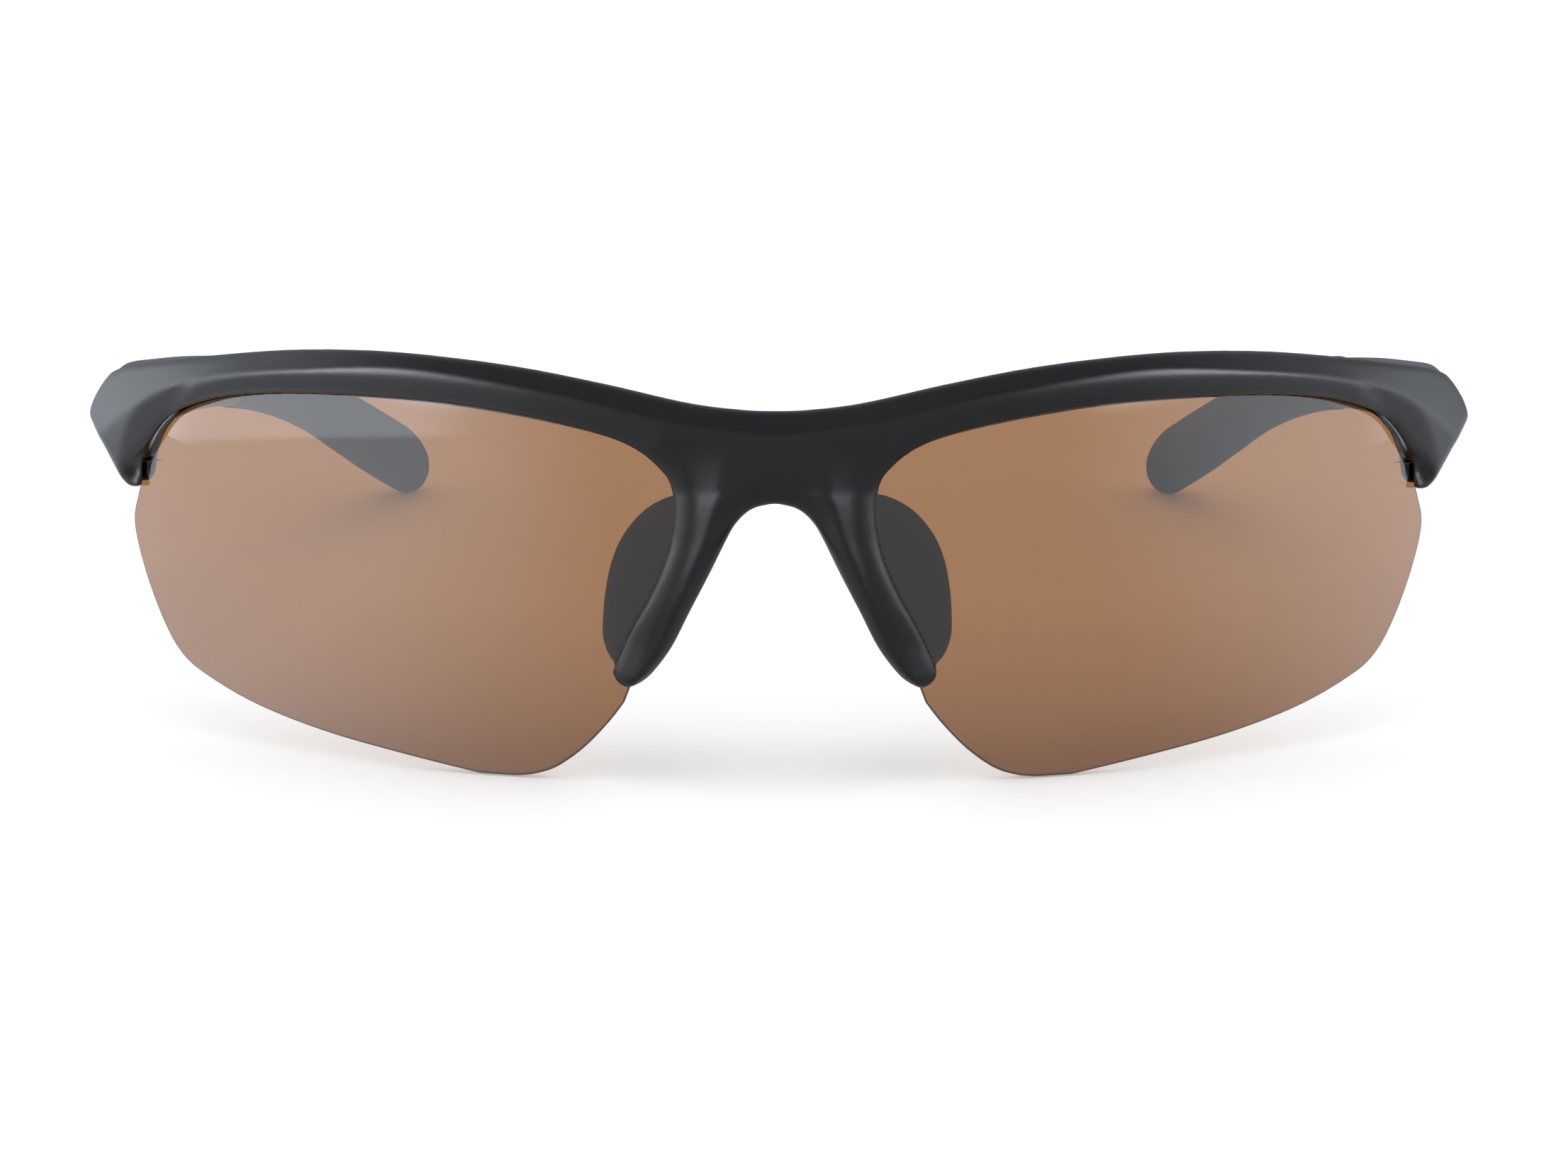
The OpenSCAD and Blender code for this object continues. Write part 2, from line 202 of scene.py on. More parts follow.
def surface_net(field):
    """Quads over the zero level of a field on a grid, with points in grid steps."""
    cells = tuple(n - 1 for n in field.shape)
    total = np.zeros(cells + (3,))
    count = np.zeros(cells)
    lowest = np.indices(cells).astype(float)
    crossings = []
    for axis in range(3):
        a = np.moveaxis(field, axis, 0)[:-1]
        b = np.moveaxis(field, axis, 0)[1:]
        cross = (a < 0) != (b < 0)
        t = np.where(cross, a / np.where(cross, a - b, 1), 0)
        cross, t = np.moveaxis(cross, 0, axis), np.moveaxis(t, 0, axis)
        crossings.append((cross, np.moveaxis(a < 0, 0, axis)))
        others = [o for o in range(3) if o != axis]
        for shift in np.ndindex(2, 2):
            cut = [slice(None)] * 3
            for o, s in zip(others, shift):
                cut[o] = slice(s, s + cells[o])
            hit, where = cross[tuple(cut)], t[tuple(cut)]
            count += hit
            total[..., axis] += np.where(hit, lowest[axis] + where, 0)
            for o, s in zip(others, shift):
                total[..., o] += np.where(hit, lowest[o] + s, 0)
    used = count > 0
    number = np.full(cells, -1)
    number[used] = np.arange(used.sum())
    quads = []
    for axis, (cross, inside) in enumerate(crossings):
        o1, o2 = (axis + 1) % 3, (axis + 2) % 3
        at = np.argwhere(cross)
        at = at[(at[:, o1] > 0) & (at[:, o2] > 0)]
        at = at[(at[:, o1] < cells[o1]) & (at[:, o2] < cells[o2])]
        corner = []
        for s1, s2 in ((0, 0), (1, 0), (1, 1), (0, 1)):
            q = at.copy()
            q[:, o1] -= s1
            q[:, o2] -= s2
            corner.append(number[tuple(q.T)])
        quad = np.column_stack(corner)
        flip = ~inside[tuple(at.T)]
        quad[flip] = quad[flip][:, ::-1]
        quads.append(quad)
    return total[used] / count[used][:, None], np.vstack(quads)


def relaxed(points, quads, rounds, pull):
    """Points moved a little towards the middle of their neighbours, a few times."""
    edges = np.vstack([quads[:, [i, (i + 1) % 4]] for i in range(4)])
    edges = np.vstack([edges, edges[:, ::-1]])
    share = np.bincount(edges[:, 0], minlength=len(points))[:, None]
    for _ in range(rounds):
        middle = np.column_stack([
            np.bincount(edges[:, 0], weights=points[edges[:, 1], k], minlength=len(points))
            for k in range(3)]) / share
        points = points + pull * (middle - points)
    return points


# --- Front --------------------------------------------------------------------------------

# Grid of the skin: its step, its reach to either side, and its lowest and highest points
STEP = 0.28
REACH_X = 72
GRID_Z = [7.5, 43]
GRID_MARGIN = 1
RELAX_ROUNDS = 5
RELAX_PULL = 0.5
# Grid of the flat outlines: its step, its first and its last point
FLAT_STEP = 0.2
FLAT_LOW = [-2.0, 5.0]
FLAT_HIGH = [76, 46]
# Heights over the lens curve, and slopes of the faces above and below the ridge
RIDGE_RISE = 2.0
UPPER_SLOPE = [[0, 1.0], [50, 0.95], [60, 0.6], [66, 0.45]]
EDGE_RISE = 1.0
LOWER_SLOPE = 0.35
RIDGE_FILLET = 1.7
SMALL_FILLET = 0.3
BACK_FILLET = 1.0
# Rounding of the outline's edge, as [height, radius]
EDGE_FILLET = [[10, 1.3], [15, 0.6]]
# Fold between the two facets of a nose leg, as [height, distance from the middle]
LEG_FOLD = [[11, 12.2], [14.6, 9.8], [17.9, 8.4], [21.2, 7.2], [24.5, 5.8], [28.6, 4.7],
            [32, 4.2]]
LEG_TOP = 29
LEG_SLOPE = [[LEG_TOP, 0.38], [34, 0]]
# The leg facets fade out between these distances from the middle
LEG_FADE = [[15, 1], [19, 0]]
LEG_RISE = [[14, 2.1], [18, 2.35], [28, 2.35], [33, 2.0]]
# Roll of the face down to the arch, as [height, width], [height, slope], [height, fillet].
# The arch's line goes on past the middle, so that the roll doesn't fold there.
PAST_MIDDLE = [[-2, 27.4]]
ARCH_ROLL = [[10, 1.1], [15, 1.6], [24, 1.8], [28, 2.6]]
ARCH_ROLL_SLOPE = [[22, 1.1], [28, 0.6]]
ARCH_FILLET = [[22, 0.9], [28, 2.4]]
# Roll of the face down to the lobe's inner edge, as [height, width]
LOBE_ROLL = [[24.5, 3.4], [26.5, 2.6], [28, 1.8], [30, 0.9], [33, -4]]
LOBE_ROLL_SLOPE = 1.2
LOBE_FILLET = 1.2
LOBE_FROM_X = 50
# How far the walls lean inward behind the lenses, as a share of the full wrap
WALL_LEAN = 0.2
# The moulding over the hidden edge of a lens stays at least this proud, as [x, height]
LENS_COVER = [[20, 0.5], [24, 0.7], [57, 0.7], [60, 0.35]]
# Walls within this distance of an opening, and this far from the face and from the back,
# get a rougher nylon that is also darker and mirrors less: painted shade of the recess round the
# lenses
SHADED_WALL_REACH = 1.2
SHADED_WALL_FROM_FACE = 0.1
SHADED_WALL_FROM_BACK = 1


def along(value, table):
    """Value of a table of [place, value] at a place, in a straight line between its rows."""
    table = np.array(table, float)
    return np.interp(value, table[:, 0], table[:, 1])


def front_face(flat, in_lens):
    """How far the front's face stands proud of the lens curve over flat points [x, z]."""
    x, z = np.abs(flat[..., 0]), flat[..., 1]
    flat = np.stack([x, z], axis=-1)
    above = distance_to(flat, RIDGE) * np.sign(z - along(x, RIDGE))
    from_opening = distance_to(flat, OPENING)
    from_arch = distance_to(flat, np.vstack([LEG_INNER, PAST_MIDDLE]))
    upper = RIDGE_RISE - along(x, UPPER_SLOPE) * above
    lower = smooth_min(EDGE_RISE + LOWER_SLOPE * from_opening, RIDGE_RISE, SMALL_FILLET)
    leg_rise = along(z, LEG_RISE)
    facet_slope = along(z, LEG_SLOPE) * along(x, LEG_FADE)
    facet = leg_rise - facet_slope * np.maximum(x - along(z, LEG_FOLD), 0)
    arch_roll = along(z, ARCH_ROLL) - from_arch
    arch_roll = leg_rise - along(z, ARCH_ROLL_SLOPE) * arch_roll
    lobe_roll = RIDGE_RISE - LOBE_ROLL_SLOPE * (along(z, LOBE_ROLL) - from_opening)
    on_leg = (z < LEG_TOP) & (x < LEG_FADE[-1][0])
    below = np.where(on_leg, facet, np.minimum(lower, facet))
    face = smooth_min(upper, below, RIDGE_FILLET)
    face = smooth_min(face, arch_roll, along(z, ARCH_FILLET))
    face = np.where(x > LOBE_FROM_X, smooth_min(face, lobe_roll, LOBE_FILLET), face)
    return smooth_max(face, along(x, LENS_COVER) - np.maximum(in_lens, 0), SMALL_FILLET)


def sample(grid, x, z):
    """Values of a flat grid at [x, z], between its points."""
    i, j = (x - FLAT_LOW[0]) / FLAT_STEP, (z - FLAT_LOW[1]) / FLAT_STEP
    i0 = np.clip(i.astype(int), 0, grid.shape[0] - 2)
    j0 = np.clip(j.astype(int), 0, grid.shape[1] - 2)
    fi, fj = i - i0, j - j0
    near = grid[i0, j0] * (1 - fi) + grid[i0 + 1, j0] * fi
    away = grid[i0, j0 + 1] * (1 - fi) + grid[i0 + 1, j0 + 1] * fi
    return near * (1 - fj) + away * fj


def front_field(base_x, base_z, n):
    """Signed distance from the skin of the front over base points, raised by n millimetres."""
    points = on_wrap(base_x, base_z, n)
    x, y = np.abs(points[..., 0]), points[..., 1]
    wall_x = x + np.where(n < 0, WALL_LEAN, 0) * (np.abs(base_x) - x)
    flat_x, flat_z = (np.arange(a, b, FLAT_STEP) for a, b in zip(FLAT_LOW, FLAT_HIGH))
    flat = np.stack(np.meshgrid(flat_x, flat_z, indexing="ij"), axis=-1)
    closed = np.vstack([FRONT_HALF, (FRONT_HALF * [-1, 1])[::-1]])
    flat_outline = signed_distance(flat, closed)
    flat_lens = signed_distance(flat, LENS_HALF) - GROOVE_PLAY
    flat_face = front_face(flat, flat_lens)
    outline = sample(flat_outline, wall_x, base_z)
    in_lens = sample(flat_lens, x, base_z)
    face = sample(flat_face, x, base_z)
    body = smooth_max(outline, n - face, along(base_z, EDGE_FILLET))
    body = smooth_max(body, FRONT_BACK - n, BACK_FILLET)
    body = smooth_max(body, y - FRONT_END_Y, SMALL_FILLET)
    groove = np.maximum(in_lens, np.abs(n + LENS_T / 2) - LENS_T / 2 - GROOVE_PLAY)
    channel = np.hypot(x - HINGE_X, y - HINGE_Y) - CHANNEL_R
    return np.maximum(np.maximum(body, -groove), -channel)


def make_front(material, shaded_groove_material):
    """The one-piece moulding, with its grooves for the lenses and its hinge channels."""
    reach = math.asin((REACH_X - SPHERE_X) / LENS_R) * LENS_R + SPHERE_X
    u = np.arange(-reach, reach + STEP, STEP)
    z = np.arange(GRID_Z[0], GRID_Z[1], STEP)
    n = np.arange(FRONT_BACK - GRID_MARGIN, RIDGE_RISE + GRID_MARGIN, STEP)
    bend = np.sign(u) * np.maximum(np.abs(u) - SPHERE_X, 0) / LENS_R
    x = np.clip(u, -SPHERE_X, SPHERE_X) + LENS_R * np.sin(bend)
    gx, gz, gn = np.meshgrid(x, z, n, indexing="ij")
    spots, quads = surface_net(front_field(gx, gz, gn))
    spots = relaxed(spots, quads, RELAX_ROUNDS, RELAX_PULL)
    base_x = np.interp(spots[:, 0], np.arange(len(x)), x)
    base_z = z[0] + spots[:, 1] * STEP
    rise = n[0] + spots[:, 2] * STEP
    front = piece("front_moulding", on_wrap(base_x, base_z, rise), quads, material, "front",
                  ["front_frame"])
    front.data.materials.append(shaded_groove_material)
    # Walls near the openings take the darker, rougher nylon, as painted shade of the recess round
    # the lenses
    flat = np.column_stack([np.abs(base_x), base_z])[quads].mean(axis=1)
    rise = rise[quads].mean(axis=1)
    painted_shade_walls = distance_to(flat, OPENING) < SHADED_WALL_REACH
    painted_shade_walls &= (rise < -SHADED_WALL_FROM_FACE) & (rise > FRONT_BACK + SHADED_WALL_FROM_BACK)
    front.data.polygons.foreach_set("material_index", painted_shade_walls.astype(int))
    return front


# --- Lenses -------------------------------------------------------------------------------

LENS_RINGS = 36
LENS_SPOKES = 420
LENS_MIDDLE = np.array([37.0, 20.0])
# Where the first ring and the last one before the edge lie, as shares of the way out
FIRST_RING = 0.04
EDGE_RING = 0.998
# Width of the ground edge, as [height, width]
LENS_EDGE_R = [[0, 0.4], [4, 0.25], [10, 0.2]]
BEVEL_TURNS = np.radians([30, 60, 90])


def evenly(outline, count):
    """A closed outline with so many points at even distances."""
    p = np.vstack([outline, outline[:1]])
    run = np.concatenate([[0], np.cumsum(np.linalg.norm(np.diff(p, axis=0), axis=1))])
    at = np.linspace(0, run[-1], count, endpoint=False)
    return np.column_stack([np.interp(at, run, p[:, k]) for k in (0, 1)])


def ring_faces(rings, count):
    """Quads between rings of points that follow one another, and a cap at either end."""
    faces = []
    for k in range(rings - 1):
        for i in range(count):
            j = (i + 1) % count
            faces.append((k * count + i, k * count + j, (k + 1) * count + j, (k + 1) * count + i))
    last = (rings - 1) * count
    return faces + [tuple(range(count))[::-1], tuple(last + i for i in range(count))]


def make_lens(name, side, coated, plain, rim_material):
    """A sheet with a coated front, a plain back and a ground bevel round the front."""
    rim = evenly(LENS_HALF, LENS_SPOKES)
    inward = LENS_MIDDLE - rim
    inward /= np.linalg.norm(inward, axis=1)[:, None]
    edge_r = along(rim[:, 1:], LENS_EDGE_R)
    # Rings from the middle of the front, over the rounded edge, to the middle of the back
    rings = []
    for share in np.append(np.linspace(FIRST_RING, EDGE_RING, LENS_RINGS - 1), 1):
        rings.append((LENS_MIDDLE + (rim + inward * edge_r - LENS_MIDDLE) * share, 0.0))
    for turn in BEVEL_TURNS:
        edge = rim + inward * edge_r * (1 - math.sin(turn))
        rings.append((edge, -edge_r[:, 0] * (1 - math.cos(turn))))
    rings += [(flat, -LENS_T - n) for flat, n in reversed(rings)]
    points = np.vstack([on_wrap(flat[:, 0], flat[:, 1], n) for flat, n in rings])
    faces = [face[::-1] for face in ring_faces(len(rings), len(rim))]
    sheet = piece("lens_sheet_" + name, points, faces, coated, "front",
                  ["lens_" + name], side)
    sheet.data.materials.append(plain)
    sheet.data.materials.append(rim_material)
    front_faces = (LENS_RINGS - 1) * len(rim)
    bevel_faces = len(BEVEL_TURNS) * len(rim)
    surfaces = np.ones(len(sheet.data.polygons), int)
    surfaces[:front_faces] = 0
    surfaces[front_faces:front_faces + bevel_faces] = 2
    surfaces[-2] = 0
    sheet.data.polygons.foreach_set("material_index", surfaces)
    return sheet


# --- Arms ---------------------------------------------------------------------------------

# Points round an arm. Its outer face folds at a share of the half height, and leans in above
# and below the fold.
SECTION = 64
KITE_UP = 0.3
KITE_TOP = 0.9
KITE_BOTTOM = 1.2
# Roundness of the section and strength of its fold, as [distance back, share]
SQUARENESS = [[60, 0.55], [110, 1]]
KITE_FADE = [[34, 1], [60, 0.6], [95, 0]]
ARM_START = 34.3
ARM_END_R = 0.5
# How far the arm goes on inside the sleeve, how far the sleeve stands out from it, where that
# ends and over what length, and how much of the arm's rounding the sleeve's front end has
SLEEVE_LAP = 2
SLEEVE_PROUD = 0.22
SLEEVE_FADE = [TIP_Y - 20, 40]
SLEEVE_END = 0.6
# The top of a tip starts to round off here, and its last ring lies this far before its end
TIP_DROP_Y = 142.5
TIP_NIB = 0.004


def arm_edges(y):
    """Outer and inner x, and upper and lower z, of an arm at the distances y."""
    upper, lower = strip_edges(ARM_SIDE)
    outer, inner = strip_edges(ARM_PLAN)
    top = np.interp(y, upper[:, 0], upper[:, 1])
    bottom = np.interp(y, lower[:, 0], lower[:, 1])
    arc = np.sqrt(np.maximum(TIP_R**2 - (y - TIP_Y)**2, 0))
    top = np.where(y > upper[-1, 0], 2 * TIP_R, top)
    drop = np.clip((y - TIP_DROP_Y) / (TIP_Y + TIP_R - TIP_DROP_Y), 0, 1)
    top = TIP_R + (top - TIP_R) * np.sqrt(1 - drop**2)
    bottom = np.where(y > lower[-1, 0], TIP_R - arc, bottom)
    x_out = np.interp(y, outer[:, 0], outer[:, 1])
    x_in = np.interp(y, inner[:, 0], inner[:, 1])
    return x_out, x_in, top, bottom


def arm_loft(stations, grow, round_end):
    """Points and quads of an arm's skin through the distances given, front to back."""
    x_out, x_in, top, bottom = arm_edges(stations)
    turn = np.linspace(0, 2 * np.pi, SECTION, endpoint=False)
    c, s = np.cos(turn), np.sin(turn)
    points = []
    for k, y in enumerate(stations):
        square = along(y, SQUARENESS)
        across = np.sign(c) * np.abs(c)**square
        up = np.sign(s) * np.abs(s)**square
        half_t = (x_out[k] - x_in[k]) / 2 + grow[k]
        half_h = (top[k] - bottom[k]) / 2 + grow[k]
        if round_end:
            narrow = max(y - TIP_DROP_Y, 0) / (TIP_Y + TIP_R - TIP_DROP_Y)
            half_t *= math.sqrt(max(1 - narrow**3, 0.0))
        kite = along(y, KITE_FADE)
        lean = np.where(up > KITE_UP, KITE_TOP * (up - KITE_UP) / (1 - KITE_UP),
                        KITE_BOTTOM * (KITE_UP - up) / (1 + KITE_UP))
        crown = 1 - kite * lean * (across > 0)
        points.append(np.column_stack([
            (x_out[k] + x_in[k]) / 2 + half_t * across * crown,
            np.full(SECTION, y),
            (top[k] + bottom[k]) / 2 + half_h * up]))
    outward = [face[::-1] for face in ring_faces(len(stations), SECTION)]
    return np.vstack(points), outward


def eased(distance, r):
    """How far a skin lies in at a distance from a rounded end of radius r."""
    return -(r - np.sqrt(np.maximum(r * r - np.maximum(r - distance, 0)**2, 0)))


def make_arm(name, side, body, material):
    y = np.concatenate([ARM_START + np.array([0, 0.05, 0.15, 0.3, ARM_END_R]),
                        np.linspace(ARM_START + 2 * ARM_END_R, SLEEVE_Y + SLEEVE_LAP, 50)])
    grow = eased(y - ARM_START, ARM_END_R)
    points, faces = arm_loft(y, grow, False)
    return piece("arm_moulding_" + name, points, faces, material, body,
                 ["temple_arm_" + name], side)


def make_tip(name, side, body, material):
    y = np.concatenate([SLEEVE_Y + np.array([0, 0.06, 0.15, 0.3, 0.5, 0.8]),
                        np.linspace(SLEEVE_Y + 1.5, TIP_Y, 56),
                        TIP_Y + TIP_R * np.sin(np.radians(np.arange(6, 90, 6))),
                        [TIP_Y + TIP_R - TIP_NIB]])
    grow = SLEEVE_PROUD * np.clip((SLEEVE_FADE[0] - y) / SLEEVE_FADE[1], 0, 1)
    grow = grow + eased(y - SLEEVE_Y, ARM_END_R) * SLEEVE_END
    points, faces = arm_loft(y, grow, True)
    return piece("tip_sleeve_" + name, points, faces, material, body,
                 ["temple_tip_" + name], side)


# --- Nose pads ----------------------------------------------------------------------------

PAD_AT = np.array([9.7, 5.8, 18.2])
PAD_LEAN = math.radians(30)
# The wires were bent by hand, so one pad opens a little more than the other
PAD_SPLAY = {"left": math.radians(29), "right": math.radians(27)}
PAD_T = 2.4
PAD_RINGS = 14
PAD_SPOKES = 120
PAD_MIDDLE = np.array([4.6, -0.6])
# Outline of a pad as [distance back, distance up the leg]
PAD_OUTLINE = spline([[-1.4, -9], [-1.6, -4], [-1.6, 3], [-1, 7.2], [2, 8.8], [6, 8],
                      [9.4, 6.2], [12, 3.4], [13, 0.2], [12.4, -2.6], [10.6, -5.2],
                      [8.6, -7.2], [6.4, -8.8], [3.6, -9.5], [0, -9.4]])


def make_pad(name, side, material):
    """A lens-shaped wing, which is turned outward and then leant with the nose leg."""
    rim = evenly(PAD_OUTLINE, PAD_SPOKES)
    points = []
    for face in (1, -1):
        shares = np.sin(np.linspace(0.03, 0.5, PAD_RINGS) * np.pi)
        for share in shares if face > 0 else shares[::-1]:
            flat = PAD_MIDDLE + (rim - PAD_MIDDLE) * share
            bulge = PAD_T / 2 * (1 - share**4)**0.5
            points.append(np.column_stack([np.full(len(flat), face * bulge), flat]))
    local = np.vstack(points)
    c, s = math.cos(PAD_SPLAY[name]), math.sin(PAD_SPLAY[name])
    a = np.column_stack([local[:, 0] * c + local[:, 1] * s,
                         local[:, 1] * c - local[:, 0] * s, local[:, 2]])
    c, s = math.cos(PAD_LEAN), math.sin(PAD_LEAN)
    leant = np.column_stack([a[:, 0] * c - a[:, 2] * s, a[:, 1], a[:, 0] * s + a[:, 2] * c])
    faces = ring_faces(2 * PAD_RINGS, len(rim))
    return piece("pad_wing_" + name, PAD_AT + leant, faces, material, "front",
                 ["nose_pad_" + name], side)


# --- Materials ----------------------------------------------------------------------------

CLOUD_SCALE = 90.0
GLOSS_SPREAD = 0.06
GRAIN_DEPTH = 0.00005
# Brown of the lenses low down and higher up, the heights in metres where it changes, and the
# colour of the light that they let through to the floor. The darker brown low down is painted
# shade, standing in for the shaded floor seen through the lower part of the lenses
LENS_SHADED_LOW_TINT = (0.26, 0.118, 0.044, 1)
LENS_HIGH_TINT = (0.325, 0.152, 0.058, 1)
LENS_TINT_HEIGHTS = (0.002, 0.018)
LENS_SHADOW_TINT = (0.78, 0.68, 0.58, 1)
COAT_IOR = 2.0


def new_material(name):
    """A material with its node tree, its Principled shader and its output."""
    material = bpy.data.materials.new(name)
    material.use_nodes = True
    nodes = material.node_tree.nodes
    return material, nodes["Principled BSDF"], nodes["Material Output"]


def add_node(tree, kind, **settings):
    node = tree.nodes.new(kind)
    for key, value in settings.items():
        if key in node.inputs:
            node.inputs[key].default_value = value
        else:
            setattr(node, key, value)
    return node


def grained(name, dark, light, rough, grain, bump, specular, gleam=(1, 0.94, 0.92, 1)):
    """A moulded plastic or rubber: colour clouds, a fine sparked grain and uneven gloss.

    gleam colours what it mirrors when looked at straight on.
    """
    material, shader, _ = new_material(name)
    tree = material.node_tree
    link = tree.links.new
    place = add_node(tree, "ShaderNodeTexCoord")
    clouds = add_node(tree, "ShaderNodeTexNoise", Scale=CLOUD_SCALE, Detail=4.0,
                      Roughness=0.6)
    fine = add_node(tree, "ShaderNodeTexNoise", Scale=grain, Detail=3.0, Roughness=0.7)
    tint = add_node(tree, "ShaderNodeMix", data_type="RGBA")
    tint.inputs[6].default_value = (*dark, 1)
    tint.inputs[7].default_value = (*light, 1)
    gloss = add_node(tree, "ShaderNodeMapRange")
    gloss.inputs["To Min"].default_value = rough - GLOSS_SPREAD
    gloss.inputs["To Max"].default_value = rough + GLOSS_SPREAD
    relief = add_node(tree, "ShaderNodeBump", Strength=bump, Distance=GRAIN_DEPTH)
    for texture in (clouds, fine):
        link(place.outputs["Object"], texture.inputs["Vector"])
    link(clouds.outputs["Fac"], tint.inputs[0])
    link(tint.outputs[2], shader.inputs["Base Color"])
    link(fine.outputs["Fac"], gloss.inputs["Value"])
    link(gloss.outputs["Result"], shader.inputs["Roughness"])
    link(fine.outputs["Fac"], relief.inputs["Height"])
    link(relief.outputs["Normal"], shader.inputs["Normal"])
    shader.inputs["Specular IOR Level"].default_value = specular
    shader.inputs["Specular Tint"].default_value = gleam
    return material


def lens_glass(name, coat):
    """Brown sheet, darker towards the ground as painted shade, that lamps shine through."""
    material, shader, output = new_material(name)
    tree = material.node_tree
    link = tree.links.new
    place = add_node(tree, "ShaderNodeTexCoord")
    apart = add_node(tree, "ShaderNodeSeparateXYZ")
    # The brown darkens towards the ground as painted shade of the shaded floor seen through the
    # lenses
    height = add_node(tree, "ShaderNodeMapRange")
    height.inputs["From Min"].default_value = LENS_TINT_HEIGHTS[0]
    height.inputs["From Max"].default_value = LENS_TINT_HEIGHTS[1]
    tint = add_node(tree, "ShaderNodeMix", data_type="RGBA")
    tint.inputs[6].default_value = LENS_SHADED_LOW_TINT
    tint.inputs[7].default_value = LENS_HIGH_TINT
    link(place.outputs["Object"], apart.inputs["Vector"])
    link(apart.outputs["Z"], height.inputs["Value"])
    link(height.outputs["Result"], tint.inputs[0])
    link(tint.outputs[2], shader.inputs["Base Color"])
    shader.inputs["Roughness"].default_value = 0.0
    shader.inputs["IOR"].default_value = 1.0
    shader.inputs["Transmission Weight"].default_value = 1.0
    shader.inputs["Coat Weight"].default_value = coat
    shader.inputs["Coat Roughness"].default_value = 0.02
    shader.inputs["Coat IOR"].default_value = COAT_IOR
    clear = add_node(tree, "ShaderNodeBsdfTransparent", Color=LENS_SHADOW_TINT)
    path = add_node(tree, "ShaderNodeLightPath")
    mix = add_node(tree, "ShaderNodeMixShader")
    link(path.outputs["Is Shadow Ray"], mix.inputs["Fac"])
    link(shader.outputs["BSDF"], mix.inputs[1])
    link(clear.outputs["BSDF"], mix.inputs[2])
    link(mix.outputs["Shader"], output.inputs["Surface"])
    return material


def steel():
    """Satin turned steel of the hinges, screws and wires."""
    material, shader, _ = new_material("satin_steel")
    tree = material.node_tree
    link = tree.links.new
    place = add_node(tree, "ShaderNodeTexCoord")
    stretch = add_node(tree, "ShaderNodeMapping")
    stretch.inputs["Scale"].default_value = (1, 1, 12)
    lines = add_node(tree, "ShaderNodeTexNoise", Scale=3000.0, Detail=4.0)
    gloss = add_node(tree, "ShaderNodeMapRange")
    gloss.inputs["To Min"].default_value = 0.22
    gloss.inputs["To Max"].default_value = 0.42
    link(place.outputs["Object"], stretch.inputs["Vector"])
    link(stretch.outputs["Vector"], lines.inputs["Vector"])
    link(lines.outputs["Fac"], gloss.inputs["Value"])
    link(gloss.outputs["Result"], shader.inputs["Roughness"])
    shader.inputs["Base Color"].default_value = (0.55, 0.55, 0.56, 1)
    shader.inputs["Metallic"].default_value = 1.0
    return material


# --- Studio -------------------------------------------------------------------------------

# Light of the room for the camera and for diffuse rays, then how bright mirroring surfaces see
# its parts
SEEN_LIGHT = 1.1
ROOM_LIGHT = 1.0
MIDDLE_LIGHT = 0.42
SIDE_LIGHT = 1.2
BEHIND_LIGHT = 1.2
BOX_LIGHT = 1.8
HIGH_BOX_LIGHT = 12.0
CEILING_LIGHT = 0.5
BOX_SLANT = 0.21
# How far to the wearer's left the middle of the dim part is
DIM_MIDDLE = 0.15
FLOOR_GLOW = 0.21
FLOOR_HALF = 3.0
# Colours of the room for diffuse and for mirrored rays
ROOM_COLOUR = (0.985, 1.0, 1.02, 1)
MIRROR_COLOUR = (0.94, 1.03, 1.13, 1)


def ramp(tree, source, low, high, start, end):
    """Smooth step of a value from start at low to end at high."""
    step = add_node(tree, "ShaderNodeMapRange", interpolation_type="SMOOTHSTEP")
    for name, value in (("From Min", low), ("From Max", high), ("To Min", start),
                        ("To Max", end)):
        step.inputs[name].default_value = value
    tree.links.new(source, step.inputs["Value"])
    return step.outputs["Result"]


def combined(tree, operation, *sources):
    """Result of a calculation on node outputs or plain numbers."""
    node = add_node(tree, "ShaderNodeMath", operation=operation)
    for socket, source in zip(node.inputs, sources):
        if isinstance(source, float):
            socket.default_value = source
        else:
            tree.links.new(source, socket)
    return node.outputs["Value"]


def wall_light(tree, across):
    """Mirrored brightness of the room, dim in front of the object and bright beside it."""
    aside = combined(tree, "ABSOLUTE", combined(tree, "SUBTRACT", across, DIM_MIDDLE))
    return ramp(tree, aside, 0.3, 0.95, MIDDLE_LIGHT, SIDE_LIGHT)


def mirrored_rays(tree):
    """1 for rays off a mirroring surface, and 0 for others, such as those through a lens."""
    path = add_node(tree, "ShaderNodeLightPath")
    glossy, through = path.outputs["Is Glossy Ray"], path.outputs["Is Transmission Ray"]
    return combined(tree, "SUBTRACT", glossy, combined(tree, "MULTIPLY", glossy, through))


